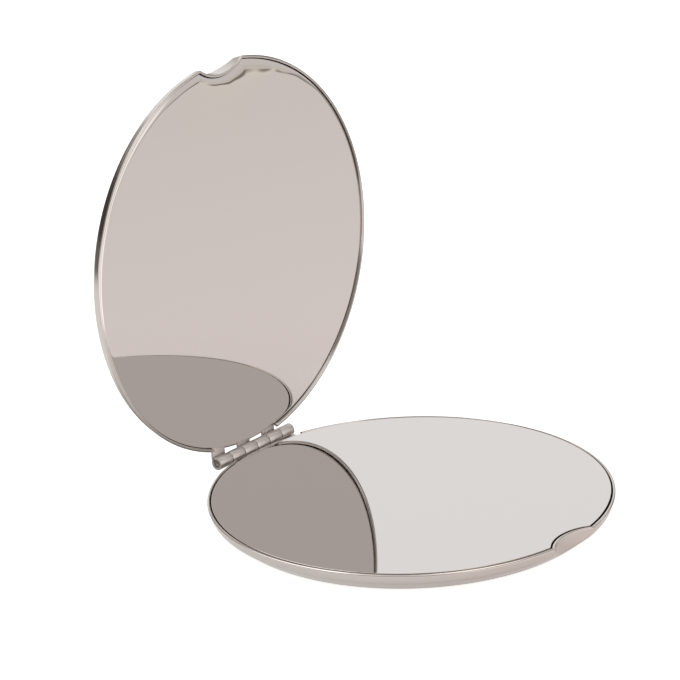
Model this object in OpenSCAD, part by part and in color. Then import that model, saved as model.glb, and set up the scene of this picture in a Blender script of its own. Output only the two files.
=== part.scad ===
// Thin round folding pocket mirror: two alike pressed steel pans, each holding a polished
// steel mirror plate, joined by a knuckle hinge and shown open.
// The lower half lies flat on its back with the hinge towards +Y and the thumb notch towards -Y.
// The origin is the middle of the lower half's flat back, and +Z is up.

/* [Halves] */
// Diameter of each half across its rim
pan_d = 70; // [64:0.5:80]
// Height of each half, from its flat back to the top of its rim
half_h = 3.9; // [3.7:0.05:4.6]
// Thickness of the pressed sheet
sheet_t = 0.5; // [0.4:0.05:0.6]
// Width of the edge, from the flat back out to the rim
edge_w = 3.4; // [2.6:0.1:4.4]
// Height of the bend between the bevel and the side
bevel_h = 2.3; // [1.8:0.05:2.6]
// How far the side leans in from the rim to that bend
side_lean = 0.7; // [0.4:0.05:1]
// Inside radius of the two bends of the edge
bend_r = 0.9; // [0.6:0.05:1.2]
// Gap between the two rims when the mirror is shut
closed_gap = 0.1; // [0.05:0.05:0.3]

/* [Mirrors] */
// Thickness of the polished plates
plate_t = 0.5; // [0.4:0.05:0.6]
// How far the plates lie below the top of the rim
plate_sunk = 0.1; // [0.05:0.05:0.2]
// Width of the groove between a plate and the rim
groove_w = 0.3; // [0.2:0.05:0.5]

/* [Filling] */
// Thickness of each layer of adhesive
glue_t = 0.15; // [0.1:0.05:0.2]
// Clearance round the filling and its pockets
fill_gap = 0.3; // [0.2:0.05:0.5]
// How far the adhesive stays inside the edge of the filling
glue_inset = 0.8; // [0.4:0.1:1.5]

/* [Thumb notch] */
// Radius of the scoop pressed into the rim
notch_r = 8.6; // [7:0.1:11]
// Depth of the scoop, measured in from the rim
notch_depth = 2.25; // [1.6:0.05:2.8]
// Draft of the scoop, in degrees, which widens it towards the back of the half
notch_draft = 6; // [0:0.5:9]

/* [Hinge] */
// Length of the hinge along its pin
hinge_w = 20; // [16:0.5:24]
// Number of knuckles, taken in turn by the two leaves
knuckles = 6; // [4:2:8]
// Gap between two neighbouring knuckles
knuckle_gap = 0.1; // [0.05:0.05:0.2]
// Diameter of the pin
pin_d = 1.4; // [1.2:0.05:1.5]
// Radial clearance of the pin in the knuckles
pin_gap = 0.03; // [0.02:0.01:0.06]
// Distance of the pin's axis outside the rim
pin_out = 0.75; // [0.5:0.05:1.2]
// How far each end of the pin lies inside the end knuckle
pin_recess = 0.2; // [0:0.05:0.5]
// Chamfer round each end of the pin
pin_chamfer = 0.15; // [0.05:0.05:0.3]
// Thickness of the sheet of the leaves
leaf_t = 0.4; // [0.3:0.05:0.45]
// Opening between the tip of a rolled knuckle and its leaf, in degrees round the pin
curl_gap = 55; // [40:5:70]
// Clearance round the leaves, the knuckles and their cut-out in the rim
leaf_gap = 0.15; // [0.1:0.05:0.25]
// Length of the foot that fixes a leaf to the floor of its pan
foot_l = 5; // [3:0.5:8]
// Slope of a leaf between its foot and its knuckles, in degrees
leaf_slope = 35; // [30:1:45]
// Angle between the two halves as shown
open_angle = 92.5; // [0:0.5:180]

/* [Magnets] */
// Diameter of the magnets that hold the mirror shut
magnet_d = 6; // [4:0.5:8]
// Thickness of the magnets
magnet_t = 1.5; // [1:0.1:1.8]
// Distance from the middle of a magnet to the scoop
magnet_back = 8; // [6:0.5:12]

/* [Hidden] */
$fn = 160;
// Straight pieces in a bend or a rolled edge
bend_steps = 8;
// How far cutting shapes run past what they cut
overrun = 1;

rim_r = pan_d / 2;
rim_mid_r = rim_r - sheet_t / 2;

// Middle line of the pan's sheet, from the middle of the back out and up to the rim
pan_line = [[0, sheet_t / 2],
            [rim_r - edge_w, sheet_t / 2],
            [rim_r - side_lean, bevel_h],
            [rim_mid_r, half_h - sheet_t / 2]];

plate_top = half_h - plate_sunk;
plate_bottom = plate_top - plate_t;
plate_r = rim_r - sheet_t - groove_w;
fill_bottom = sheet_t + glue_t;
fill_top = plate_bottom - glue_t;

// The scoop's axis stands outside the rim, and its wall has the pan's thickness
notch_y = -(rim_r + notch_r - notch_depth);
notch_spread = half_h * tan(notch_draft);
notch_wall_t = sheet_t / cos(notch_draft);

hinge_y = rim_r + pin_out;
hinge_z = half_h + closed_gap / 2;
bore_r = pin_d / 2 + pin_gap;
barrel_r = bore_r + leaf_t;
pitch = hinge_w / knuckles;
knuckle_w = pitch - knuckle_gap;

// A leaf reaches from its own first knuckle to the far end of the hinge
leaf_start = pitch - hinge_w / 2;
leaf_w = hinge_w - pitch;

// Heights of the middle of a leaf's sheet, along its foot and where it meets the knuckles
foot_z = sheet_t + leaf_t / 2;
neck_z = hinge_z - barrel_r + leaf_t / 2;
// The neck ends under the edge of the plate, and bends down inside the wall of the pan
neck_end = sqrt(plate_r * plate_r - hinge_w * hinge_w / 4);
wall_room = rim_r - side_lean - sheet_t;
neck_bend = sqrt(wall_room * wall_room - hinge_w * hinge_w / 4) - leaf_t;
foot_start = neck_bend - (neck_z - foot_z) / tan(leaf_slope);
foot_end = foot_start - foot_l;

magnet_y = notch_y + notch_r + magnet_back;

// Unit vector along v, and v turned a quarter turn to its left
function unit(v) = v / norm(v);
function to_left(v) = [-v[1], v[0]];

// The line of points moved sideways by d, to the left of the way it runs
function beside(line, d) =
    [for (i = [0 : len(line) - 1])
        let (back = unit(line[max(i, 1)] - line[max(i, 1) - 1]),
             fore = unit(line[min(i + 1, len(line) - 1)] - line[min(i, len(line) - 2)]))
        line[i] + d * (to_left(back) + to_left(fore)) / (1 + back * fore)];

// Points round part of a circle
function arc(centre, r, start, turn) =
    [for (k = [0 : bend_steps])
        centre + r * [cos(start + turn * k / bend_steps), sin(start + turn * k / bend_steps)]];

// An arc of radius r that rounds the corner p between a and b
function eased_corner(a, p, b, r) =
    let (u = unit(a - p),
         v = unit(b - p),
         half = acos(u * v) / 2,
         centre = p + unit(u + v) * r / sin(half),
         first = p + u * r / tan(half) - centre,
         turn = sign(cross(u, v)) * (2 * half - 180))
    arc(centre, r, atan2(first[1], first[0]), turn);

// The line with a bend at each inner point, whose radius is on the line's left or its right
function eased(line, left_r, right_r) =
    [line[0],
     for (i = [1 : len(line) - 2])
        each eased_corner(line[i - 1], line[i], line[i + 1],
                          cross(line[i] - line[i - 1], line[i + 1] - line[i]) > 0 ? left_r : right_r),
     line[len(line) - 1]];

function reversed(line) = [for (i = [len(line) - 1 : -1 : 0]) line[i]];

// The right and the left face of a bent sheet of thickness t, where inner_r is the inside of its bends
function right_face(line, t, inner_r) = eased(beside(line, -t / 2), inner_r + t, inner_r);
function left_face(line, t, inner_r) = eased(beside(line, t / 2), inner_r, inner_r + t);

// The half circle that rolls the end of a sheet over from its right face to its left
function rolled_end(line, t) =
    let (way = line[len(line) - 1] - line[len(line) - 2])
    arc(line[len(line) - 1], t / 2, atan2(way[1], way[0]) - 90, 180);

function without_ends(line) = [for (i = [1 : len(line) - 2]) line[i]];

// Section of a bent sheet with its far end rolled over
function sheet_section(line, t, inner_r) =
    concat(right_face(line, t, inner_r), without_ends(rolled_end(line, t)),
           reversed(left_face(line, t, inner_r)));

// Everything inside the outer skin of a half
module half_envelope() {
    skin = concat(right_face(pan_line, sheet_t, bend_r), without_ends(rolled_end(pan_line, sheet_t)));
    below_lip = half_h - sheet_t;
    rotate_extrude()
        polygon(concat([for (p = skin) if (p[0] > rim_mid_r || p[1] < below_lip) p],
                       [[rim_mid_r, half_h], [0, half_h]]));
}

// The scoop, moved out from its finger side by w, with ends that run past the faces it cuts
module scoop_cut(w) {
    stretch = overrun * tan(notch_draft);
    translate([0, notch_y, -overrun])
        cylinder(h = half_h + 2 * overrun, r1 = notch_r + notch_spread + stretch + w,
                 r2 = notch_r - stretch + w);
}

// Wall of the scoop, with its top rolled over like the rim
module scoop_wall() {
    mid_r = notch_r + notch_wall_t / 2;
    line = [[mid_r + notch_spread + overrun * tan(notch_draft), -overrun],
            [mid_r, half_h - sheet_t / 2]];
    translate([0, notch_y, 0])
        rotate_extrude()
            polygon(sheet_section(line, sheet_t, bend_r));
}

module half_shell() {
    difference() {
        rotate_extrude() polygon(sheet_section(pan_line, sheet_t, bend_r));
        scoop_cut(0);
        // cut-out of the rim for the half's own tabs and the knuckles between them
        translate([leaf_start - leaf_gap, 0, hinge_z - barrel_r - leaf_gap / 2])
            cube([leaf_w + 2 * leaf_gap, rim_r + overrun, half_h]);
    }
    intersection() {
        half_envelope();
        scoop_wall();
    }
}

module half_mirror() {
    difference() {
        translate([0, 0, plate_bottom]) cylinder(h = plate_t, r = plate_r);
        scoop_cut(notch_wall_t + groove_w);
    }
}

// Room between the floor and the plate, inside the wall by gap and between two heights
module room(gap, low, high) {
    inner = left_face(pan_line, sheet_t, bend_r);
    outline = concat([for (p = inner) [max(p[0] - gap, 0), p[1]]], [[0, half_h]]);
    rotate_extrude() intersection() {
        polygon(outline);
        translate([0, low]) square([rim_r, high - low]);
    }
}

// Pocket in the filling for the hinge leaf, and the filling's own relief at the scoop
module fill_cuts(gap) {
    scoop_cut(notch_wall_t + gap);
    translate([leaf_start - gap, foot_end - gap, 0])
        cube([leaf_w + 2 * gap, rim_r, half_h]);
}

module half_spacer() {
    difference() {
        room(fill_gap, fill_bottom, fill_top);
        fill_cuts(fill_gap);
        translate([0, magnet_y, fill_top - magnet_t])
            cylinder(h = magnet_t + overrun, r = magnet_d / 2 + fill_gap);
    }
}

module half_adhesive(low) {
    difference() {
        room(fill_gap + glue_inset, low, low + glue_t);
        fill_cuts(fill_gap + glue_inset);
    }
}

module half_magnet() {
    translate([0, magnet_y, fill_top - magnet_t]) cylinder(h = magnet_t, r = magnet_d / 2);
}

// Section of a rolled knuckle with its tab, seen along the pin
module knuckle_section() {
    tab_l = hinge_y - neck_bend;
    difference() {
        union() {
            circle(r = barrel_r);
            translate([-tab_l, -barrel_r]) square([tab_l, leaf_t]);
        }
        circle(r = bore_r);
        polygon([[0, 0], [-bore_r * tan(curl_gap), -bore_r], [0, -bore_r]]);
    }
}

// A section drawn in Y and Z, laid along X from x for a width w
module along_pin(x, w) {
    translate([x, 0, 0]) rotate([90, 0, 90]) linear_extrude(w) children();
}

module half_leaf() {
    line = [[neck_end, neck_z], [neck_bend, neck_z], [foot_start, foot_z], [foot_end, foot_z]];
    along_pin(leaf_start + knuckle_gap / 2, leaf_w - knuckle_gap)
        polygon(concat(right_face(line, leaf_t, leaf_t), reversed(left_face(line, leaf_t, leaf_t))));
    for (k = [1 : 2 : knuckles - 1])
        along_pin(-hinge_w / 2 + k * pitch + knuckle_gap / 2, knuckle_w)
            translate([hinge_y, hinge_z]) knuckle_section();
}

// The upper half is the lower one turned over onto it and then opened round the pin
module on_lid() {
    translate([0, hinge_y, hinge_z])
        rotate([-open_angle, 0, 0])
            rotate([0, 180, 0])
                translate([0, -hinge_y, -hinge_z])
                    children();
}

module base_shell() { color("silver") half_shell(); }
module base_mirror() { color("lightgray") half_mirror(); }
module base_adhesive_front() { color("ivory") half_adhesive(fill_top); }
module base_spacer() { color("dimgray") half_spacer(); }
module base_adhesive_back() { color("ivory") half_adhesive(sheet_t); }
module base_magnet() { color("slategray") half_magnet(); }
module base_hinge_leaf() { color("darkgray") half_leaf(); }

module hinge_pin() {
    pin_l = hinge_w - knuckle_gap - 2 * pin_recess;
    r = pin_d / 2;
    color("gray") translate([-pin_l / 2, hinge_y, hinge_z]) rotate([0, 90, 0])
        rotate_extrude() polygon([[0, 0], [r - pin_chamfer, 0], [r, pin_chamfer],
                                  [r, pin_l - pin_chamfer], [r - pin_chamfer, pin_l], [0, pin_l]]);
}

module lid_shell() { color("silver") on_lid() half_shell(); }
module lid_mirror() { color("lightgray") on_lid() half_mirror(); }
module lid_adhesive_front() { color("ivory") on_lid() half_adhesive(fill_top); }
module lid_spacer() { color("dimgray") on_lid() half_spacer(); }
module lid_adhesive_back() { color("ivory") on_lid() half_adhesive(sheet_t); }
module lid_magnet() { color("slategray") on_lid() half_magnet(); }
module lid_hinge_leaf() { color("darkgray") on_lid() half_leaf(); }

base_shell();
base_mirror();
base_adhesive_front();
base_spacer();
base_adhesive_back();
base_magnet();
base_hinge_leaf();
hinge_pin();
lid_shell();
lid_mirror();
lid_adhesive_front();
lid_spacer();
lid_adhesive_back();
lid_magnet();
lid_hinge_leaf();
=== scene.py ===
import math

import bmesh
import bpy
from mathutils import Matrix, Vector


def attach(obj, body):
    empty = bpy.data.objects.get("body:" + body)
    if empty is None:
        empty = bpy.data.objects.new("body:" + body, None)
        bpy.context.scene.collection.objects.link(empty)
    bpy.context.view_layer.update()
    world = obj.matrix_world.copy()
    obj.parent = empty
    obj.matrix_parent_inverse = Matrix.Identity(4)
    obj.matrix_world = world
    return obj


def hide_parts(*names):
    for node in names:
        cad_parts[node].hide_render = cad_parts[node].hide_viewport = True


# Folding pocket mirror: two pressed steel pans with a polished plate in each, on a knuckle hinge.
# Everything is in metres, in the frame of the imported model. The settings are in millimetres and degrees,
# unless a heading says otherwise.
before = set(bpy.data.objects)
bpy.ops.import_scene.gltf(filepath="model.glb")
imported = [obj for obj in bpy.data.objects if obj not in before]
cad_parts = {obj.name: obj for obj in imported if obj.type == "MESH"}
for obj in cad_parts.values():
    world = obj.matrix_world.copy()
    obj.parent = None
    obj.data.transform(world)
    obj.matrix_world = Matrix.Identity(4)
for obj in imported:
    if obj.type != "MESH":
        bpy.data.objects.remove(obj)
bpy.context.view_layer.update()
mm = 0.001
print("frame loaded:", ", ".join(sorted(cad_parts)))

halfShape = {
    "rimRadius": 35.0,
    "height": 3.9,
    "sheet": 0.5,
    "edgeWidth": 3.4,       # from the flat back out to the rim
    "bevelHeight": 2.3,     # bend between the bevel and the side
    "sideLean": 0.7,        # of the side, from the rim in to that bend
    "bendRadius": 0.9,      # inside of both bends
    "notchRadius": 8.6,
    "notchDepth": 2.25,
    "notchDraft": 6.3,      # lean of the scoop's wall
}

hinge = {
    "axisY": 35.75,
    "axisZ": 3.95,
    "length": 20.0,
    "knuckles": 6,
    "knuckleGap": 0.1,
    "openAngle": 92.5,       # of the lid in the photo, from shut
}

hingeLine = Vector((0, hinge["axisY"], hinge["axisZ"])) * mm
# turns a piece of the lower half over and up onto the open lid
onLid = (Matrix.Translation(hingeLine) @ Matrix.Rotation(math.radians(-hinge["openAngle"]), 4, "X")
         @ Matrix.Rotation(math.pi, 4, "Y") @ Matrix.Translation(-hingeLine))


# Work on one object at a time

def pick(obj):
    bpy.ops.object.select_all(action="DESELECT")
    obj.select_set(True)
    bpy.context.view_layer.objects.active = obj


def startEdit(obj):
    pick(obj)
    bpy.ops.object.mode_set(mode="EDIT")
    bpy.ops.mesh.select_all(action="DESELECT")


def endEdit():
    bpy.ops.object.mode_set(mode="OBJECT")


def newest(name):
    obj = bpy.context.object
    obj.name = obj.data.name = name
    bpy.ops.object.transform_apply(location=True, rotation=True, scale=True)
    return obj


def selectWhere(obj, edges=None, faces=None):
    # edges and faces are tests on the middle of an edge or a face, in millimetres
    mesh = bmesh.from_edit_mesh(obj.data)
    if edges:
        bpy.ops.mesh.select_mode(type="EDGE")
        for edge in mesh.edges:
            edge.select_set(bool(edges((edge.verts[0].co + edge.verts[1].co) / (2 * mm), edge)))
    if faces:
        bpy.ops.mesh.select_mode(type="FACE")
        for face in mesh.faces:
            face.select_set(bool(faces(face.calc_center_median() / mm, face)))
    bmesh.update_edit_mesh(obj.data)


def applyModifier(obj, kind, **settings):
    pick(obj)
    modifier = obj.modifiers.new(kind.lower(), kind)
    for name, value in settings.items():
        setattr(modifier, name, value)
    bpy.ops.object.modifier_apply(modifier=modifier.name)


def smooth(obj, angle):
    pick(obj)
    bpy.ops.object.shade_smooth_by_angle(angle=math.radians(angle))


def keepPosition(obj):
    # the grain of the steel follows a half when it's turned over onto the lid
    attribute = obj.data.attributes.new("halfPosition", "FLOAT_VECTOR", "POINT")
    for vertex, item in zip(obj.data.vertices, attribute.data):
        item.vector = vertex.co


def turnedOver(obj, name):
    other = obj.copy()
    other.data = obj.data.copy()
    other.name = other.data.name = name
    bpy.context.scene.collection.objects.link(other)
    other.data.transform(onLid)
    return other


# Plan of a half: the rim circle, the scoop and the rounded corners between them

outline = {
    "rimColumns": 300,
    "cornerColumns": 6,
    "scoopColumns": 40,
    "mergeWithin": 0.0005,   # points nearer than this are one
}
notchCentre = -(halfShape["rimRadius"] + halfShape["notchRadius"] - halfShape["notchDepth"])
columns = []
for part, count in (("rim", outline["rimColumns"]), ("left", outline["cornerColumns"]),
                    ("scoop", outline["scoopColumns"]), ("right", outline["cornerColumns"])):
    columns += [(part, k / count) for k in range(count)]


def planPoint(column, rim, scoop, corner):
    # place of a column in plan, for these radii of the rim, the scoop and the corners
    part, t = column
    middleY = (notchCentre ** 2 + (rim - corner) ** 2 - (scoop + corner) ** 2) / (2 * notchCentre)
    middleX = math.sqrt((rim - corner) ** 2 - middleY ** 2)
    rimEnd = math.atan2(middleY, middleX)
    if part == "rim":
        angle = rimEnd + t * (math.pi - 2 * rimEnd)
        return Vector((math.cos(angle), math.sin(angle))) * rim
    if part == "scoop":
        angle = math.atan2(middleX, middleY - notchCentre) * (2 * t - 1)
        return Vector((math.sin(angle) * scoop, notchCentre + math.cos(angle) * scoop))
    side = 1 if part == "right" else -1
    share = 1 - t if part == "right" else t
    first = math.pi - rimEnd
    last = 2 * math.pi + math.atan2(notchCentre - middleY, middleX)
    angle = first + share * (last - first)
    return Vector((-side * (-middleX + math.cos(angle) * corner), middleY + math.sin(angle) * corner))


def scoopShare(column):
    # 0 along the rim, 1 along the scoop, and between the two in a corner
    part, t = column
    return {"rim": 0.0, "scoop": 1.0, "left": t, "right": 1 - t}[part]


def ringSolid(name, rings):
    # a circle whose ring is extruded and set down once for each level, and closed at both ends
    bpy.ops.object.select_all(action="DESELECT")
    bpy.ops.mesh.primitive_circle_add(vertices=len(columns), radius=rings[0][0].length * mm,
                                      fill_type="NOTHING")
    obj = newest(name)
    bpy.ops.object.mode_set(mode="EDIT")
    bpy.ops.mesh.select_mode(type="VERT")
    bpy.ops.mesh.select_all(action="SELECT")
    mesh = bmesh.from_edit_mesh(obj.data)
    place = mesh.verts.layers.int.new("column")
    mesh.verts.ensure_lookup_table()
    vertex = mesh.verts[0]
    edge = vertex.link_edges[0]
    for k in range(len(columns)):
        vertex[place] = k
        vertex = edge.other_vert(vertex)
        edge = [e for e in vertex.link_edges if e != edge][0]
    for level, ring in enumerate(rings):
        if level:
            bpy.ops.mesh.extrude_edges_move()
        mesh = bmesh.from_edit_mesh(obj.data)
        place = mesh.verts.layers.int["column"]
        for vertex in mesh.verts:
            if vertex.select:
                vertex.co = ring[vertex[place]] * mm
        bmesh.update_edit_mesh(obj.data)
    bpy.ops.mesh.edge_face_add()
    bpy.ops.mesh.select_all(action="DESELECT")
    selectWhere(obj, edges=lambda middle, edge: len(edge.link_faces) == 1)
    bpy.ops.mesh.edge_face_add()
    bpy.ops.mesh.select_all(action="SELECT")
    bpy.ops.mesh.remove_doubles(threshold=outline["mergeWithin"] * mm)
    bpy.ops.mesh.normals_make_consistent(inside=False)
    endEdit()
    obj.data.attributes.remove(obj.data.attributes["column"])
    return obj


def bent(before, corner, after, radius, steps):
    # points of a bend of this radius between two straight runs
    back = (before - corner).normalized()
    ahead = (after - corner).normalized()
    half = back.angle(ahead) / 2
    middle = corner + (back + ahead).normalized() * radius / math.sin(half)
    first = corner + back * radius / math.tan(half) - middle
    last = corner + ahead * radius / math.tan(half) - middle
    turn = first.angle(last)
    points = []
    for k in range(steps + 1):
        spoke = first * math.sin(turn * (1 - k / steps)) + last * math.sin(turn * k / steps)
        points.append(middle + spoke / math.sin(turn))
    return points


def between(first, last, steps):
    # points of a straight run, without its ends
    return [first.lerp(last, k / steps) for k in range(1, steps)]


# Pressed pans: sheet steel drawn over a former, with the rim rolled over and the scoop pressed in

shell = {
    "cornerRadius": 0.55,    # outside of the corners between rim and scoop, seen from above
    "scoopBend": 0.7,        # outside of the bend under the scoop
    "lipSteps": 16,
    "lipSquare": 0.62,       # power that squares the edge of the sheet: 1 would be a full round
    "lipRise": 0.98,         # height of that edge, as a share of half the sheet
    "lipFall": 0.10,         # and how much lower it's pressed towards the outside
    "outwardStep": 0.2,      # step that finds which way is out at the lip
    "wallSteps": 4,
    "bendSteps": 6,
    "bevelSteps": 2,
    "heightRounds": 20,      # of the search for the height of the upper bend, which ends long before
    "flatRing": 1.0,         # ring of the flat back inside its bend
    "cutStart": -6.817,      # cut-out of the rim for the hinge
    "cutEnd": 10.15,
    "cutNear": 30.0,
    "cutFar": 50.0,
    "cutBottom": 2.745,
    "cutHeight": 4.0,
    "cutEdge": 0.05,
    "edgeSegments": 2,
    "edgeAngle": 50,         # edges sharper than this are rounded
    "smoothAngle": 35,
}

sheet = halfShape["sheet"]
lipZ = halfShape["height"] - sheet / 2
panLine = [Vector((0, sheet / 2)),
           Vector((halfShape["rimRadius"] - halfShape["edgeWidth"], sheet / 2)),
           Vector((halfShape["rimRadius"] - halfShape["sideLean"], halfShape["bevelHeight"])),
           Vector((halfShape["rimRadius"] - sheet / 2, lipZ))]
draft = math.radians(halfShape["notchDraft"])
scoopWall = sheet / math.cos(draft)


def sideways(line, distance):
    # the same line, moved to its right by this distance
    moved = []
    for k, point in enumerate(line):
        back = (line[max(k, 1)] - line[max(k, 1) - 1]).normalized()
        ahead = (line[min(k + 1, len(line) - 1)] - line[min(k, len(line) - 2)]).normalized()
        right = Vector((back.y + ahead.y, -back.x - ahead.x))
        moved.append(point + right * distance / (1 + back.dot(ahead)))
    return moved


def upperBend(column, foot, edge, side):
    # corner of the bevel and the side at this column: it rises where the leaning scoop cuts into the bevel
    slope = (edge.y - foot.y) / (edge.x - foot.x)
    corner = shell["cornerRadius"] - sheet / 2 + side * sheet / 2
    z = edge.y
    for _ in range(shell["heightRounds"]):
        scoop = halfShape["notchRadius"] + (lipZ - z) * math.tan(draft) + (0 if side > 0 else scoopWall)
        plan = planPoint(column, edge.x, scoop, corner)
        z = edge.y + (plan.length - edge.x) * slope
    return Vector((plan.x, plan.y, z))


def lipFrame(column):
    # middle of the sheet where its lip starts, the way out across the sheet, and the way up along it
    share = scoopShare(column)
    middle = halfShape["notchRadius"] + scoopWall / 2
    corner = shell["cornerRadius"] - sheet / 2
    step = shell["outwardStep"]
    top = planPoint(column, panLine[3].x, middle, corner)
    outer = planPoint(column, panLine[3].x + step, middle - step, corner + step)
    out = (outer - top).normalized()
    rimLean = math.atan2(panLine[3].x - panLine[2].x, panLine[3].y - panLine[2].y)
    lean = rimLean * (1 - share) + draft * share
    sideWay = Vector((out.x * math.cos(lean), out.y * math.cos(lean), -math.sin(lean)))
    up = Vector((out.x * math.sin(lean), out.y * math.sin(lean), math.cos(lean)))
    return Vector((top.x, top.y, lipZ)), sideWay, up


def skinOf(column, side):
    # one face of the sheet, from the flat back out and up to the lip: side is 1 outside and -1 inside
    _, foot, edge, _ = sideways(panLine, side * sheet / 2)
    edgePoint = upperBend(column, foot, edge, side)
    way = edgePoint.xy.normalized()
    footPoint = Vector((way.x * foot.x, way.y * foot.x, foot.y))
    centre = Vector((0, 0, foot.y))
    lipCentre, sideWay, _ = lipFrame(column)
    lipStart = lipCentre + sideWay * side * sheet / 2
    share = scoopShare(column)
    across = sheet / 2 * (1 + side)
    rimBend = halfShape["bendRadius"] + across
    scoopBend = shell["scoopBend"] - sheet + across
    edgeRadius = rimBend * (1 - share) + scoopBend * share
    footBend = bent(centre, footPoint, edgePoint, rimBend, shell["bendSteps"])
    edgeBend = bent(footPoint, edgePoint, lipStart, edgeRadius, shell["bendSteps"])
    flat = Vector((way.x, way.y, 0)) * (footBend[0].xy.length - shell["flatRing"]) + centre
    return ([flat] + footBend + between(footBend[-1], edgeBend[0], shell["bevelSteps"]) + edgeBend
            + between(edgeBend[-1], lipStart, shell["wallSteps"]))


def lipOf(column):
    # the edge of the sheet, from its outside over to its inside
    lipCentre, sideWay, up = lipFrame(column)
    points = []
    for k in range(shell["lipSteps"] + 1):
        turn = math.pi * k / shell["lipSteps"]
        over = math.copysign(abs(math.cos(turn)) ** shell["lipSquare"], math.cos(turn))
        rise = abs(math.sin(turn)) ** shell["lipSquare"] * (shell["lipRise"] - shell["lipFall"] * over)
        points.append(lipCentre + (sideWay * over + up * rise) * sheet / 2)
    return points


def panColumn(column):
    return skinOf(column, 1) + lipOf(column) + skinOf(column, -1)[::-1]


baseShell = ringSolid("baseShell", list(zip(*[panColumn(column) for column in columns])))

cutMiddle = Vector(((shell["cutStart"] + shell["cutEnd"]) / 2, (shell["cutNear"] + shell["cutFar"]) / 2,
                    shell["cutBottom"] + shell["cutHeight"] / 2)) * mm
bpy.ops.mesh.primitive_cube_add(size=1, location=cutMiddle)
cutter = newest("cutter")
startEdit(cutter)
bpy.ops.mesh.select_all(action="SELECT")
bpy.ops.transform.resize(value=((shell["cutEnd"] - shell["cutStart"]) * mm,
                                (shell["cutFar"] - shell["cutNear"]) * mm, shell["cutHeight"] * mm),
                         center_override=cutMiddle)
endEdit()
applyModifier(baseShell, "BOOLEAN", operation="DIFFERENCE", object=cutter, solver="EXACT")
bpy.data.objects.remove(cutter)
applyModifier(baseShell, "BEVEL", width=shell["cutEdge"] * mm, segments=shell["edgeSegments"],
              limit_method="ANGLE", angle_limit=math.radians(shell["edgeAngle"]), miter_outer="MITER_ARC")
smooth(baseShell, shell["smoothAngle"])
keepPosition(baseShell)
lidShell = turnedOver(baseShell, "lidShell")
print("shells made")


# Polished plates, blanked from strip, with their edges rolled off by polishing

plate = {
    "radius": 34.3,
    "scoop": 9.3,
    "cornerRadius": 0.35,
    "leastCorner": 0.02,
    "bottom": 3.3,
    "bottomEdge": 0.03,
    "rollSteps": 10,
    "rollPower": 2.0,        # how the slope grows towards the edge
    "flatBand": 0.4,         # flat ring inside the roll
    "innerRing": 2.5,        # how far in the middle of each face starts
    "smoothAngle": 35,
}
basePlate = {
    "top": 3.93,             # glued in off its middle, and a little proud of the rim in front
    "shift": (-0.02, 0.03),
    "fallX": 0.0,            # of its top, for each millimetre along X
    "fallY": 0.0025,
    "scoopRoll": ((0, 0.07, 0.04), (1, 0.07, 0.04)),        # place along the scoop, width, depth
    "rimRoll": ((0, 0.07, 0.04), (360, 0.07, 0.04)),        # angle round the rim, width, depth
}
lidPlate = {
    "top": 3.634,            # glued in on a slight slant, lower at the hinge
    "shift": (0.09, -0.05),
    "fallX": 0.002,
    "fallY": 0.008,
    "scoopRoll": ((0, 3.2, 0.4), (0.3, 2.2, 0.32), (0.6, 1.5, 0.25), (1, 1.4, 0.25)),
    "rimRoll": ((0, 0.5, 0.15), (45, 0.3, 0.02), (90, 0.3, 0.02), (112, 0.3, 0.05),
                (135, 0.34, 0.09), (165, 0.35, 0.1), (180, 0.35, 0.08), (222, 0.4, 0.13),
                (234, 1.0, 0.19), (245, 1.9, 0.31), (255, 3.2, 0.4), (264, 3.2, 0.4), (280, 1.4, 0.25),
                (288, 1.2, 0.28), (300, 0.8, 0.22), (320, 0.5, 0.17), (360, 0.5, 0.15)),
}


def rollAt(settings, column):
    # width and depth of the rolled edge at this column
    part, place = column
    table = settings["rimRoll"] if part == "rim" else settings["scoopRoll"]
    if part == "rim":
        point = planPoint(column, plate["radius"], plate["scoop"], plate["cornerRadius"])
        place = math.degrees(math.atan2(point.y, point.x)) % 360
    elif part != "scoop":
        place = 0 if part == "left" else 1
    for before, after in zip(table, table[1:]):
        if before[0] <= place <= after[0]:
            share = (place - before[0]) / (after[0] - before[0])
            share = share * share * (3 - 2 * share)
            return [before[k] + (after[k] - before[k]) * share for k in (1, 2)]


def plateRings(settings):
    rolls = [rollAt(settings, column) for column in columns]

    def ring(across, drop=None):
        # across is how far in from the edge, as a share of the roll plus millimetres
        rows = []
        for column, (width, depth) in zip(columns, rolls):
            inward = width * across[0] + across[1]
            corner = max(plate["cornerRadius"] - inward, plate["leastCorner"])
            flat = planPoint(column, plate["radius"] - inward, plate["scoop"] + inward, corner)
            z = settings["top"] - settings["fallX"] * flat.x - settings["fallY"] * flat.y
            flat += Vector(settings["shift"])
            rows.append(Vector((flat.x, flat.y, plate["bottom"] if drop is None else z - drop * depth)))
        return rows

    outer = ring((0, 0))
    rings = [ring((0, plate["innerRing"])), ring((0, plate["bottomEdge"])),
             [point + Vector((0, 0, plate["bottomEdge"])) for point in outer]]
    for k in range(plate["rollSteps"] + 1):
        share = 1 - k / plate["rollSteps"]
        rings.append(ring((1 - share, 0), share ** plate["rollPower"]))
    rings.append(ring((1, plate["flatBand"]), 0))
    rings.append(ring((1, plate["innerRing"]), 0))
    return rings


baseMirror = ringSolid("baseMirror", plateRings(basePlate))
lidMirror = ringSolid("lidMirror", plateRings(lidPlate))
for mirror in (baseMirror, lidMirror):
    smooth(mirror, plate["smoothAngle"])
    keepPosition(mirror)
lidMirror.data.transform(onLid)
print("plates made")


# Hinge leaves: strip with three tabs, rolled round the pin, and a foot that goes under the filling

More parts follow.
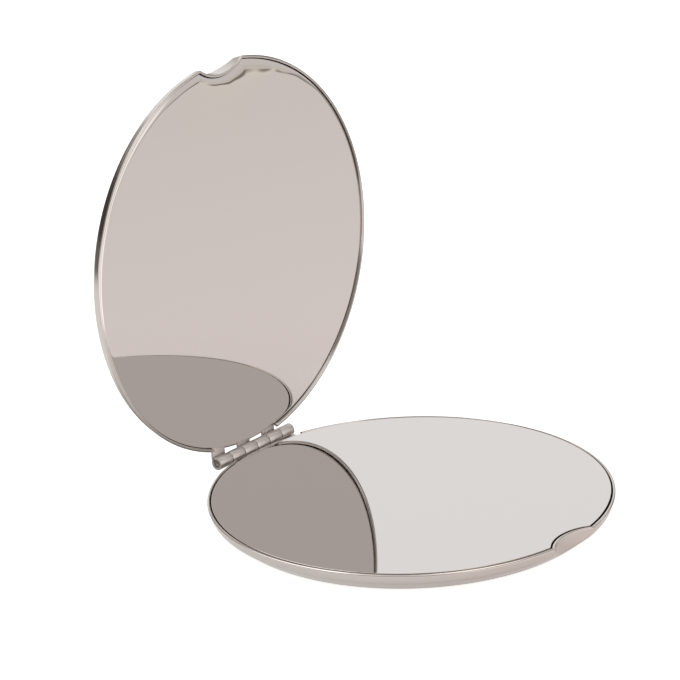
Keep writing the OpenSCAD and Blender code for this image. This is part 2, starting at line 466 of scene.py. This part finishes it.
leaf = {
    "sheet": 0.4,
    "boreRadius": 0.73,
    "curlTurn": 305,         # the tip of a knuckle stops short of its tab
    "curlSteps": 40,
    "start": 32.4,           # first edge that is drawn, within the neck
    "neckEnd": 32.705,       # where the tabs begin
    "neckBend": 31.887,
    "footStart": 28.574,
    "footEnd": 23.574,
    "footZ": 0.7,
    "bendRadius": 0.6,
    "bendSteps": 6,
    "edge": 0.08,
    "edgeSegments": 2,
    "edgeAngle": 50,
    "smoothAngle": 40,
    "tolerance": 0.001,      # for picking edges and joining points
}


def pushEdges(offset):
    bpy.ops.mesh.extrude_edges_move(TRANSFORM_OT_translate={"value": offset})


def makeLeaf():
    pitch = hinge["length"] / hinge["knuckles"]
    curl = leaf["boreRadius"] + leaf["sheet"] / 2
    neckZ = hinge["axisZ"] - curl
    bounds = [(-hinge["length"] / 2 + k * pitch + hinge["knuckleGap"] / 2,
               -hinge["length"] / 2 + (k + 1) * pitch - hinge["knuckleGap"] / 2)
              for k in range(1, hinge["knuckles"], 2)]
    first, last = bounds[0][0], bounds[-1][1]
    middle = Vector(((first + last) / 2, (leaf["start"] + leaf["neckEnd"]) / 2, neckZ)) * mm
    bpy.ops.object.select_all(action="DESELECT")
    bpy.ops.mesh.primitive_plane_add(size=1, location=middle)
    obj = newest("baseHingeLeaf")
    startEdit(obj)
    bpy.ops.mesh.select_all(action="SELECT")
    bpy.ops.transform.resize(value=((last - first) * mm, (leaf["neckEnd"] - leaf["start"]) * mm, 1),
                             center_override=middle)
    for low, high in bounds:
        for x in (low, high):
            if first < x < last:
                bpy.ops.mesh.select_all(action="SELECT")
                bpy.ops.mesh.bisect(plane_co=(x * mm, 0, 0), plane_no=(1, 0, 0))
    selectWhere(obj, edges=lambda at, edge: at.y > leaf["neckEnd"] - leaf["tolerance"]
                and any(low < at.x < high for low, high in bounds))
    pushEdges((0, (hinge["axisY"] - leaf["neckEnd"]) * mm, 0))
    bpy.ops.mesh.spin(steps=leaf["curlSteps"], angle=math.radians(-leaf["curlTurn"]), axis=(1, 0, 0),
                      center=hingeLine)
    selectWhere(obj, edges=lambda at, edge: at.y < leaf["start"] + leaf["tolerance"])
    run = Vector((leaf["footStart"] - leaf["neckBend"], leaf["footZ"] - neckZ))
    fall = math.atan2(-run.y, -run.x)
    reach = leaf["bendRadius"] * math.tan(fall / 2)
    pushEdges((0, (leaf["neckBend"] + reach - leaf["start"]) * mm, 0))
    bpy.ops.mesh.spin(steps=leaf["bendSteps"], angle=-fall, axis=(1, 0, 0),
                      center=Vector((0, leaf["neckBend"] + reach, neckZ - leaf["bendRadius"])) * mm)
    slope = run.normalized() * (run.length - 2 * reach)
    pushEdges((0, slope.x * mm, slope.y * mm))
    bpy.ops.mesh.spin(steps=leaf["bendSteps"], angle=fall, axis=(1, 0, 0),
                      center=Vector((0, leaf["footStart"] - reach, leaf["footZ"] + leaf["bendRadius"])) * mm)
    pushEdges((0, (leaf["footEnd"] - leaf["footStart"] + reach) * mm, 0))
    bpy.ops.mesh.select_all(action="SELECT")
    bpy.ops.mesh.remove_doubles(threshold=leaf["tolerance"] * mm)
    bpy.ops.mesh.normals_make_consistent(inside=False)
    endEdit()
    applyModifier(obj, "SOLIDIFY", thickness=leaf["sheet"] * mm, offset=0, use_even_offset=True)
    applyModifier(obj, "BEVEL", width=leaf["edge"] * mm, segments=leaf["edgeSegments"],
                  limit_method="ANGLE", angle_limit=math.radians(leaf["edgeAngle"]))
    smooth(obj, leaf["smoothAngle"])
    keepPosition(obj)
    return obj


baseHingeLeaf = makeLeaf()
lidHingeLeaf = turnedOver(baseHingeLeaf, "lidHingeLeaf")
print("hinge leaves made")


# Pin: drawn wire, cropped, with its ends tumbled round

pin = {
    "radius": 0.7,
    "length": 19.5,
    "sides": 64,
    "endRound": 0.16,
    "endSegments": 4,
    "endRing": 0.18,         # flat ring of an end, round its dimple
    "dimpleSlope": 0.1,
    "dimpleDepth": 0.06,
    "endFacing": 0.99,       # least normal along the pin of an end's flat faces
    "smoothAngle": 40,
}

bpy.ops.object.select_all(action="DESELECT")
bpy.ops.mesh.primitive_cylinder_add(vertices=pin["sides"], radius=pin["radius"] * mm,
                                    depth=pin["length"] * mm, location=hingeLine,
                                    rotation=(0, math.pi / 2, 0))
hingePin = newest("hingePin")
startEdit(hingePin)
selectWhere(hingePin, faces=lambda at, face: abs(face.normal.x) > pin["endFacing"])
bpy.ops.mesh.bevel(offset=pin["endRound"] * mm, segments=pin["endSegments"], affect="EDGES")
selectWhere(hingePin, faces=lambda at, face: abs(face.normal.x) > pin["endFacing"]
            and len(face.verts) == pin["sides"])
bpy.ops.mesh.inset(thickness=pin["endRing"] * mm)
bpy.ops.mesh.inset(thickness=pin["dimpleSlope"] * mm, depth=-pin["dimpleDepth"] * mm)
endEdit()
smooth(hingePin, pin["smoothAngle"])
print("pin made")


# Materials. Grains, lines, marks and dents are counted to the millimetre, and heights and depths are in
# millimetres. The real grain and lines are finer: they are drawn as coarse as they need to be to show.
# Where roughness has three values, they are the least, the mean and the most.

pressedFinish = {
    "colour": "#CFC8C3",
    "roughness": (0.10, 0.13, 0.17),
    "marksPerMm": 0.9,                   # left by the tumbling stones
    "grainPerMm": 4.0,
    "grainDepth": 0.01,
    "grainStrength": 0.12,
    "linesPerMm": 6.0,                   # brushed lines of the flat back
    "lineStretch": 0.015,                # their width over their length
    "lineDepth": 0.004,
    "lineStrength": 0.3,
    "lineRoughness": 0.16,               # and what they add to the roughness
    "lineHeight": (0.2, 1.2),            # they fade where the sheet is bent up
}
polishedFinish = {
    "colour": "#D7D2CF",
    "roughness": (0.015, 0.02, 0.03),
    "hazePerMm": 0.06,
}
rolledFinish = {
    "colour": "#DDD5D1",
    "roughness": (0.34, 0.42, 0.52),
    "linesPerMm": 6.0,
    "lineStretch": 0.1,
    "dentsPerMm": 2.6,
    "dentDepth": 0.08,
    "dentStrength": 0.9,
}
drawnFinish = {
    "colour": "#A79F98",
    "roughness": (0.28, 0.35, 0.45),
    "grainPerMm": 3.0,
}


def toLinear(hexColour):
    channels = [int(hexColour[k:k + 2], 16) / 255 for k in (1, 3, 5)]
    return tuple(c / 12.92 if c <= 0.04045 else ((c + 0.055) / 1.055) ** 2.4 for c in channels) + (1.0,)


def addNode(tree, kind, settings=None, links=None):
    # settings are properties of the node or values of its inputs, and links are inputs with what feeds them,
    # which may also be a plain value
    node = tree.nodes.new(kind)
    for name, value in (settings or {}).items():
        if isinstance(name, int) or name in node.inputs:
            node.inputs[name].default_value = value
        else:
            setattr(node, name, value)
    for name, source in (links or {}).items():
        if isinstance(source, bpy.types.NodeSocket):
            tree.links.new(source, node.inputs[name])
        else:
            node.inputs[name].default_value = source
    return node


def newMaterial(name, colour, metallic, roughness):
    material = bpy.data.materials.new(name)
    material.use_nodes = True
    shader = material.node_tree.nodes["Principled BSDF"]
    shader.inputs["Base Color"].default_value = toLinear(colour)
    shader.inputs["Metallic"].default_value = metallic
    shader.inputs["Roughness"].default_value = roughness
    return material, material.node_tree, shader


def pressedSteel():
    # Stainless steel 430, pressed and tumbled: a soft satin sheen with a faint mottle from the stones
    smoothest, mean, roughest = pressedFinish["roughness"]
    material, tree, shader = newMaterial("steelPressedTumbled", pressedFinish["colour"], 1.0, mean)
    place = addNode(tree, "ShaderNodeAttribute", {"attribute_name": "halfPosition"}).outputs["Vector"]
    mottle = addNode(tree, "ShaderNodeTexNoise", {"Scale": pressedFinish["marksPerMm"] / mm, "Detail": 3.0},
                     {"Vector": place})
    rough = addNode(tree, "ShaderNodeMapRange", {"To Min": smoothest, "To Max": roughest},
                    {"Value": mottle.outputs["Fac"]})
    grain = addNode(tree, "ShaderNodeTexNoise", {"Scale": pressedFinish["grainPerMm"] / mm, "Detail": 2.0},
                    {"Vector": place})
    bump = addNode(tree, "ShaderNodeBump",
                   {"Strength": pressedFinish["grainStrength"], "Distance": pressedFinish["grainDepth"] * mm},
                   {"Height": grain.outputs["Fac"]})
    # The flat back keeps the fine straight lines of the brushed sheet
    along = addNode(tree, "ShaderNodeMapping", {"Scale": (pressedFinish["lineStretch"], 1.0, 1.0)},
                    {"Vector": place})
    lines = addNode(tree, "ShaderNodeTexNoise", {"Scale": pressedFinish["linesPerMm"] / mm, "Detail": 3.0},
                    {"Vector": along.outputs["Vector"]})
    height = addNode(tree, "ShaderNodeSeparateXYZ", None, {0: place}).outputs[2]
    low, high = pressedFinish["lineHeight"]
    flat = addNode(tree, "ShaderNodeMapRange", {"From Min": high * mm, "From Max": low * mm},
                   {"Value": height})
    dull = addNode(tree, "ShaderNodeMath", {"operation": "MULTIPLY", 1: pressedFinish["lineRoughness"]},
                   {0: flat.outputs["Result"]})
    sheen = addNode(tree, "ShaderNodeMath", {"operation": "MULTIPLY_ADD"},
                    {0: lines.outputs["Fac"], 1: dull.outputs[0], 2: rough.outputs["Result"]})
    tree.links.new(sheen.outputs[0], shader.inputs["Roughness"])
    deep = addNode(tree, "ShaderNodeMath", {"operation": "MULTIPLY", 1: pressedFinish["lineStrength"]},
                   {0: flat.outputs["Result"]})
    brushed = addNode(tree, "ShaderNodeBump", {"Distance": pressedFinish["lineDepth"] * mm},
                      {"Strength": deep.outputs[0], "Height": lines.outputs["Fac"],
                       "Normal": bump.outputs["Normal"]})
    tree.links.new(brushed.outputs["Normal"], shader.inputs["Normal"])
    return material


def polishedSteel():
    # Stainless steel 304, buffed to a mirror: a clear image, a little darker and warmer than glass
    smoothest, mean, roughest = polishedFinish["roughness"]
    material, tree, shader = newMaterial("steelMirrorPolished", polishedFinish["colour"], 1.0, mean)
    place = addNode(tree, "ShaderNodeAttribute", {"attribute_name": "halfPosition"}).outputs["Vector"]
    haze = addNode(tree, "ShaderNodeTexNoise", {"Scale": polishedFinish["hazePerMm"] / mm, "Detail": 2.0},
                   {"Vector": place})
    rough = addNode(tree, "ShaderNodeMapRange", {"To Min": smoothest, "To Max": roughest},
                    {"Value": haze.outputs["Fac"]})
    tree.links.new(rough.outputs["Result"], shader.inputs["Roughness"])
    return material


def rolledStrip():
    # Cold rolled stainless strip, rolled into knuckles: fine lines along the roll and a duller, dented sheen
    smoothest, mean, roughest = rolledFinish["roughness"]
    material, tree, shader = newMaterial("steelStripRolled", rolledFinish["colour"], 1.0, mean)
    place = addNode(tree, "ShaderNodeAttribute", {"attribute_name": "halfPosition"}).outputs["Vector"]
    stretch = rolledFinish["lineStretch"]
    along = addNode(tree, "ShaderNodeMapping", {"Scale": (1.0, stretch, stretch)}, {"Vector": place})
    lines = addNode(tree, "ShaderNodeTexNoise", {"Scale": rolledFinish["linesPerMm"] / mm, "Detail": 2.0},
                    {"Vector": along.outputs["Vector"]})
    rough = addNode(tree, "ShaderNodeMapRange", {"To Min": smoothest, "To Max": roughest},
                    {"Value": lines.outputs["Fac"]})
    tree.links.new(rough.outputs["Result"], shader.inputs["Roughness"])
    dents = addNode(tree, "ShaderNodeTexNoise", {"Scale": rolledFinish["dentsPerMm"] / mm, "Detail": 3.0},
                    {"Vector": place})
    bump = addNode(tree, "ShaderNodeBump",
                   {"Strength": rolledFinish["dentStrength"], "Distance": rolledFinish["dentDepth"] * mm},
                   {"Height": dents.outputs["Fac"]})
    tree.links.new(bump.outputs["Normal"], shader.inputs["Normal"])
    return material


def drawnWire():
    # Drawn steel wire: a dull, slightly uneven grey, darker than the strip round it
    smoothest, mean, roughest = drawnFinish["roughness"]
    material, tree, shader = newMaterial("steelWireDrawn", drawnFinish["colour"], 1.0, mean)
    place = addNode(tree, "ShaderNodeTexCoord").outputs["Object"]
    grain = addNode(tree, "ShaderNodeTexNoise", {"Scale": drawnFinish["grainPerMm"] / mm, "Detail": 3.0},
                    {"Vector": place})
    rough = addNode(tree, "ShaderNodeMapRange", {"To Min": smoothest, "To Max": roughest},
                    {"Value": grain.outputs["Fac"]})
    tree.links.new(rough.outputs["Result"], shader.inputs["Roughness"])
    return material


def plainGrain(name, colour, otherColour, metallic, roughness, grainPerMm, grainDepth):
    # a surface with a grain of two near colours and a little relief
    material, tree, shader = newMaterial(name, colour, metallic, roughness)
    place = addNode(tree, "ShaderNodeTexCoord").outputs["Object"]
    grain = addNode(tree, "ShaderNodeTexNoise", {"Scale": grainPerMm / mm, "Detail": 4.0}, {"Vector": place})
    mix = addNode(tree, "ShaderNodeMix", {"data_type": "RGBA", 6: toLinear(colour), 7: toLinear(otherColour)},
                  {0: grain.outputs["Fac"]})
    tree.links.new(mix.outputs[2], shader.inputs["Base Color"])
    bump = addNode(tree, "ShaderNodeBump", {"Strength": 0.4, "Distance": grainDepth * mm},
                   {"Height": grain.outputs["Fac"]})
    tree.links.new(bump.outputs["Normal"], shader.inputs["Normal"])
    return material


materials = {
    "shell": pressedSteel(),
    "mirror": polishedSteel(),
    "leaf": rolledStrip(),
    "pin": drawnWire(),
    # Acrylic foam tape, double sided: milky and slightly rubbery
    "tape": plainGrain("acrylicFoamTape", "#EDEBDD", "#DAD7C8", metallic=0.0, roughness=0.55,
                       grainPerMm=2.5, grainDepth=0.01),
    # Grey board, pressed from waste paper: fibrous and matt
    "board": plainGrain("greyBoardPressed", "#6C6863", "#837F79", metallic=0.0, roughness=0.9,
                        grainPerMm=4.0, grainDepth=0.03),
    # Nickel plate on a sintered magnet: bright, with a slight orange peel
    "magnet": plainGrain("nickelPlateBright", "#C9C5BE", "#BDB8B0", metallic=1.0, roughness=0.16,
                         grainPerMm=1.5, grainDepth=0.003),
}


def dress(obj, key):
    obj.data.materials.clear()
    obj.data.materials.append(materials[key])


for piece, key, body, slot, node in (
        (baseShell, "shell", "base", "shell_steel", "base_shell"),
        (lidShell, "shell", "lid", "shell_steel", "lid_shell"),
        (baseMirror, "mirror", "base", "mirror_plate", "base_mirror"),
        (lidMirror, "mirror", "lid", "mirror_plate", "lid_mirror"),
        (baseHingeLeaf, "leaf", "base", "hinge_steel", "base_hinge_leaf"),
        (lidHingeLeaf, "leaf", "lid", "hinge_steel", "lid_hinge_leaf"),
        (hingePin, "pin", "base", "pin_steel", "hinge_pin")):
    dress(piece, key)
    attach(piece, body)
    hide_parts(node)

for half in ("base", "lid"):
    for part, key in (("adhesive_front", "tape"), ("adhesive_back", "tape"), ("spacer", "board"),
                      ("magnet", "magnet")):
        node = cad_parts[half + "_" + part]
        if node.material_slots:
            for slot in node.material_slots:
                slot.material = materials[key]
        else:
            dress(node, key)
print("materials made")


# Floor, world, lamps and camera. The studio's own settings are in metres and degrees.

stage = {
    "floorRadius": 3.0,
    "floorSides": 96,
    "floorDrop": 0.00002,        # just under the part, so that no two faces share a plane
    "floorColour": "#C6C5C3",
    "floorRoughness": 0.9,
    "glowSeen": 0.8,             # added where the camera looks at the floor
    "glowMirrored": 0.45,        # added where a reflection meets it
    "paintedGlowFrontLeft": 0.7,        # and more, as a painted pool of light, towards the bright wall
    "paintedLightFrontLeft": {"reach": (0.05, 0.08), "angle": (-92, 26, 8)},
    "viewRight": (0.648, -0.762, 0.0),       # level, to the right in the photo
    "backRight": (0.68, 0.735, 0.0),
    "skyLevel": 0.62,
    "white": (1.0, 1.0, 1.0, 1.0),
}

# Painted reflections: tints of the floor that only the metal sees, each laid over those before it. A tint
# fades in
# from the first to the second distance: to the right of the view, back right, back, or out from the middle
# (reach).
# Its angle is an azimuth from +X, with half its width and its softness. Two of them are painted shade of the
# lid.
floorTints = (
    {"name": "frontRightNear", "colour": (0.96, 0.90, 0.89), "viewRight": (-0.02, 0.03), "fade": "LINEAR"},
    {"name": "frontRightFar", "colour": (0.86, 0.82, 0.80), "viewRight": (0.03, 0.24), "fade": "LINEAR"},
    {"name": "tableEdge", "colour": (0.24, 0.2, 0.18), "reach": (0.33, 0.45), "angle": (-38, 34, 6)},
    {"name": "wallBeyond", "colour": (0.84, 0.79, 0.73), "reach": (0.52, 0.95), "angle": (-38, 34, 6)},
    {"name": "tableGap", "colour": (0.9, 0.86, 0.78), "reach": (0.2, 0.34), "angle": (-37, 1.4, 1.2)},
    # painted shadow: the lid's shadow on the floor behind right, dark only in reflections
    {"name": "behindRight", "colour": (0.33, 0.33, 0.32), "backRight": (0.056, 0.07), "angle": (20, 50, 5)},
    # painted shade: the floor under and behind the hinge, where the lid and the hinge shade it, dark only in
    # reflections
    {"name": "underHinge", "colour": (0.35, 0.335, 0.325), "back": (0.026, 0.031), "reach": (0.09, 0.06)},
    {"name": "behindLeft", "colour": (0.15, 0.135, 0.125), "reach": (0.2, 0.34), "angle": (95, 26, 8)},
)

# And of the room, also one over the other: azimuth from +X and elevation, half sizes and softness
regions = (
    {"name": "ceilingRight", "at": (-48, 57), "half": (36, 15), "soft": 6, "colour": (0.36, 0.35, 0.34)},
    {"name": "frontRight", "at": (-40, 14), "half": (22, 24), "soft": 7, "colour": (0.76, 0.73, 0.715)},
    {"name": "cardRight", "at": (-20, 20), "half": (13, 12), "soft": 4, "colour": (0.28, 0.27, 0.265)},
    {"name": "wallRightOfCamera", "at": (-95, 18), "half": (33, 24), "soft": 5, "colour": (1.25, 1.22, 1.18)},
    {"name": "behindCamera", "at": (-140, 38), "half": (28, 30), "soft": 5, "colour": (0.35, 0.34, 0.33)},
    {"name": "wallLeftOfCamera", "at": (160, 37), "half": (32, 29), "soft": 5, "colour": (0.3, 0.29, 0.28)},
    {"name": "cardBehindLeft", "at": (95, 2), "half": (24, 15), "soft": 5, "colour": (0.07, 0.06, 0.055)},
    {"name": "cardAboveLeft", "at": (110, 26), "half": (34, 8), "soft": 5, "colour": (0.5, 0.48, 0.46)},
    {"name": "right", "at": (2, 14), "half": (13, 9), "soft": 4, "colour": (0.14, 0.13, 0.125)},
    {"name": "above", "at": (40, 56), "half": (60, 22), "soft": 6, "colour": (0.66, 0.64, 0.63)},
    {"name": "lampAboveLeft", "at": (68, 65), "half": (10, 7), "soft": 3, "colour": (1.8, 1.76, 1.7)},
    {"name": "lampAboveRight", "at": (12, 66), "half": (20, 8), "soft": 3, "colour": (2.1, 2.05, 1.98)},
    {"name": "rightHorizon", "at": (14, 2), "half": (28, 8), "soft": 5, "colour": (0.45, 0.45, 0.44)},
)

bpy.ops.object.select_all(action="DESELECT")
bpy.ops.mesh.primitive_circle_add(vertices=stage["floorSides"], radius=stage["floorRadius"], fill_type="NGON")
floor = newest("floor")
startEdit(floor)
bpy.ops.mesh.select_all(action="SELECT")
bpy.ops.mesh.inset(thickness=stage["floorRadius"] / 2)
endEdit()
floor.data.transform(Matrix.Translation((0, 0, -stage["floorDrop"])))


def nearAngle(tree, angle, centre, half, soft):
    # 1 near this angle and 0 away from it
    away = addNode(tree, "ShaderNodeMath", {"operation": "SUBTRACT", 1: math.radians(centre)}, {0: angle})
    wrapped = addNode(tree, "ShaderNodeMath", {"operation": "WRAP", 1: math.pi, 2: -math.pi},
                      {0: away.outputs[0]})
    size = addNode(tree, "ShaderNodeMath", {"operation": "ABSOLUTE"}, {0: wrapped.outputs[0]})
    return addNode(tree, "ShaderNodeMapRange",
                   {"interpolation_type": "SMOOTHSTEP", "From Min": math.radians(half + soft),
                    "From Max": math.radians(half - soft)}, {"Value": size.outputs[0]}).outputs["Result"]


def whereAll(tree, shares):
    # 1 where all of these shares are
    product = shares[0]
    for share in shares[1:]:
        times = addNode(tree, "ShaderNodeMath", {"operation": "MULTIPLY"}, {0: product, 1: share})
        product = times.outputs[0]
    return product


def paperBackdrop():
    # Matt paper: plain white to the eye, but painted for the metal with reflections of a table and a room,
    # and shade
    material, tree, shader = newMaterial("paperBackdropMatt", stage["floorColour"], 0.0,
                                         stage["floorRoughness"])
    light = addNode(tree, "ShaderNodeLightPath").outputs
    mirrored = addNode(tree, "ShaderNodeMath", {"operation": "MAXIMUM"},
                       {0: light["Is Glossy Ray"], 1: light["Is Transmission Ray"]}).outputs[0]
    place = addNode(tree, "ShaderNodeTexCoord").outputs["Object"]
    axes = addNode(tree, "ShaderNodeSeparateXYZ", None, {0: place}).outputs
    azimuth = addNode(tree, "ShaderNodeMath", {"operation": "ARCTAN2"}, {0: axes[1], 1: axes[0]}).outputs[0]
    distances = {
        "reach": addNode(tree, "ShaderNodeVectorMath", {"operation": "LENGTH"}, {0: place}).outputs["Value"],
        "back": axes[1],
    }
    for name in ("viewRight", "backRight"):
        along = addNode(tree, "ShaderNodeVectorMath", {"operation": "DOT_PRODUCT", 1: stage[name]},
                        {0: place})
        distances[name] = along.outputs["Value"]

    def shareOf(tint):
        # 1 where a mirrored tint shows in full
        shares = [mirrored]
        for name, distance in distances.items():
            if name in tint:
                fade = addNode(tree, "ShaderNodeMapRange",
                               {"interpolation_type": tint.get("fade", "SMOOTHSTEP"),
                                "From Min": tint[name][0], "From Max": tint[name][1]}, {"Value": distance})
                shares.append(fade.outputs["Result"])
        if "angle" in tint:
            shares.append(nearAngle(tree, azimuth, *tint["angle"]))
        return whereAll(tree, shares)

    paper = stage["white"]
    for tint in floorTints:
        mix = addNode(tree, "ShaderNodeMix",
                      {"data_type": "RGBA", "label": tint["name"], 7: (*tint["colour"], 1.0)},
                      {0: shareOf(tint), 6: paper})
        paper = mix.outputs[2]
    paint = addNode(tree, "ShaderNodeMix",
                    {"data_type": "RGBA", "blend_type": "MULTIPLY", 0: 1.0,
                     6: toLinear(stage["floorColour"])}, {7: paper})
    # the floor glows white to the camera and as background in reflections, plus a painted pool of light
    # towards the front left
    glow = 0.0
    for share, strength in ((light["Is Camera Ray"], stage["glowSeen"]),
                            (mirrored, stage["glowMirrored"]),
                            (shareOf(stage["paintedLightFrontLeft"]), stage["paintedGlowFrontLeft"])):
        glow = addNode(tree, "ShaderNodeMath", {"operation": "MULTIPLY_ADD", 1: strength},
                       {0: share, 2: glow}).outputs[0]
    tree.links.new(paint.outputs[2], shader.inputs["Base Color"])
    tree.links.new(paper, shader.inputs["Emission Color"])
    tree.links.new(glow, shader.inputs["Emission Strength"])
    return material


def studioTent():
    # an even pale tent, in which the metal mirrors the regions of a room
    world = bpy.data.worlds.new("studioTent")
    world.use_nodes = True
    tree = world.node_tree
    background = tree.nodes["Background"]
    light = addNode(tree, "ShaderNodeLightPath").outputs
    mirrored = addNode(tree, "ShaderNodeMath", {"operation": "MAXIMUM"},
                       {0: light["Is Glossy Ray"], 1: light["Is Transmission Ray"]}).outputs[0]
    way = addNode(tree, "ShaderNodeTexCoord").outputs["Generated"]
    axes = addNode(tree, "ShaderNodeSeparateXYZ", None, {0: way}).outputs
    azimuth = addNode(tree, "ShaderNodeMath", {"operation": "ARCTAN2"}, {0: axes[1], 1: axes[0]}).outputs[0]
    elevation = addNode(tree, "ShaderNodeMath", {"operation": "ARCSINE"}, {0: axes[2]}).outputs[0]
    sky = stage["white"]
    for region in regions:
        shares = [nearAngle(tree, angle, centre, half, region["soft"])
                  for angle, centre, half in zip((azimuth, elevation), region["at"], region["half"])]
        mix = addNode(tree, "ShaderNodeMix",
                      {"data_type": "RGBA", "label": region["name"], 7: (*region["colour"], 1.0)},
                      {0: whereAll(tree, [mirrored] + shares), 6: sky})
        sky = mix.outputs[2]
    seen = addNode(tree, "ShaderNodeMath", {"operation": "MAXIMUM"},
                   {0: mirrored, 1: light["Is Camera Ray"]})
    strength = addNode(tree, "ShaderNodeMapRange", {"To Min": stage["skyLevel"], "To Max": 1.0},
                       {"Value": seen.outputs[0]})
    tree.links.new(sky, background.inputs["Color"])
    tree.links.new(strength.outputs["Result"], background.inputs["Strength"])
    return world


floor.data.materials.append(paperBackdrop())
bpy.context.scene.world = studioTent()

lamps = (
    {"name": "softboxLeft", "at": (-0.3, 0.5, 0.8), "aim": (0, 0, 0.02), "size": (0.7, 0.7), "power": 1.9,
     "mirrored": True},
    # the metal of the photo shows no lamp here, so this one only lights
    {"name": "softboxRight", "at": (0.55, -0.15, 0.8), "aim": (0, 0, 0.02), "size": (0.7, 0.7), "power": 1.9,
     "mirrored": False},
)
for lamp in lamps:
    data = bpy.data.lights.new(lamp["name"], "AREA")
    data.shape = "RECTANGLE"
    data.size, data.size_y = lamp["size"]
    data.energy = lamp["power"]
    box = bpy.data.objects.new(lamp["name"], data)
    bpy.context.scene.collection.objects.link(box)
    box.location = lamp["at"]
    box.visible_glossy = lamp["mirrored"]
    box.rotation_euler = (Vector(lamp["aim"]) - Vector(lamp["at"])).to_track_quat("-Z", "Y").to_euler()

# The camera as fitted to the photo, in degrees and millimetres, aimed at the origin before its shift
camera = {
    "azimuth": -49.631,
    "elevation": 20.572,
    "roll": -2.257,
    "distance": 621.317,
    "shiftRight": -12.343,   # of the camera itself, not of its lens
    "shiftUp": 29.652,
    "lens": 191.22,
    "sensor": 36.0,
    "nearest": 10.0,
    "farthest": 20000.0,
}
azimuth, elevation, roll = (math.radians(camera[key]) for key in ("azimuth", "elevation", "roll"))
back = Vector((math.sin(azimuth) * math.cos(elevation), -math.cos(azimuth) * math.cos(elevation),
               math.sin(elevation)))
levelRight = Vector((math.cos(azimuth), math.sin(azimuth), 0))
upright = back.cross(levelRight)
rightWay = levelRight * math.cos(roll) + upright * math.sin(roll)
upWay = upright * math.cos(roll) - levelRight * math.sin(roll)
place = (back * camera["distance"] + rightWay * camera["shiftRight"] + upWay * camera["shiftUp"]) * mm
turn = Matrix((rightWay, upWay, back)).transposed().to_4x4()
view = bpy.data.objects.new("photoCamera", bpy.data.cameras.new("photoCamera"))
bpy.context.scene.collection.objects.link(view)
view.matrix_world = Matrix.Translation(place) @ turn
view.data.lens = camera["lens"]
view.data.sensor_width = camera["sensor"]
view.data.clip_start = camera["nearest"] * mm
view.data.clip_end = camera["farthest"] * mm
bpy.context.scene.camera = view
bpy.context.scene.view_settings.view_transform = "Standard"
print("stage made")
